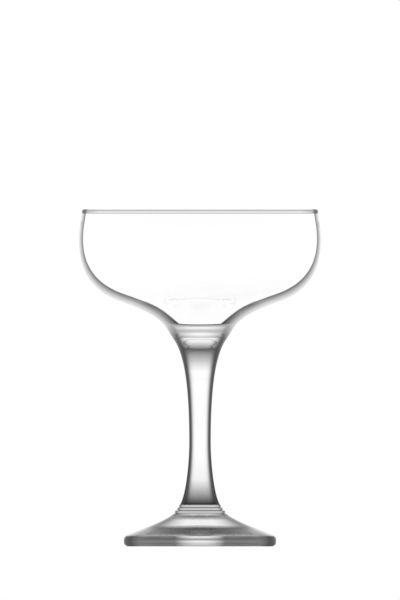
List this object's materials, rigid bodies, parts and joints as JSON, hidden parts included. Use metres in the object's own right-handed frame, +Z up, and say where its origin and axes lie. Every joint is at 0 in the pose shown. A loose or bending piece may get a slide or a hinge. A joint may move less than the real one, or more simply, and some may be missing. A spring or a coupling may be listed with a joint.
{
  "type": "coupe glass",
  "caption": "Stemmed coupe glass in clear glass: a wide shallow bowl with a rounded rim, a waisted stem, stepped rings and a spread foot.",
  "frame": {"origin": "centre of the foot's underside, on the surface that the glass stands on", "axes": "+Z up along the glass's axis of revolution; X and Y lie in the table plane, and the picture looks along +Y with +X to the right"},
  "size_m": [0.0976, 0.0976, 0.136],
  "materials": {
    "clear_glass": "clear, fire-polished, smooth"
  },
  "bodies": {
    "root": {"bowl": "clear_glass", "stem": "clear_glass", "ring_upper": "clear_glass", "ring_middle": "clear_glass", "ring_lower": "clear_glass", "foot": "clear_glass"}
  },
  "joints": []
}
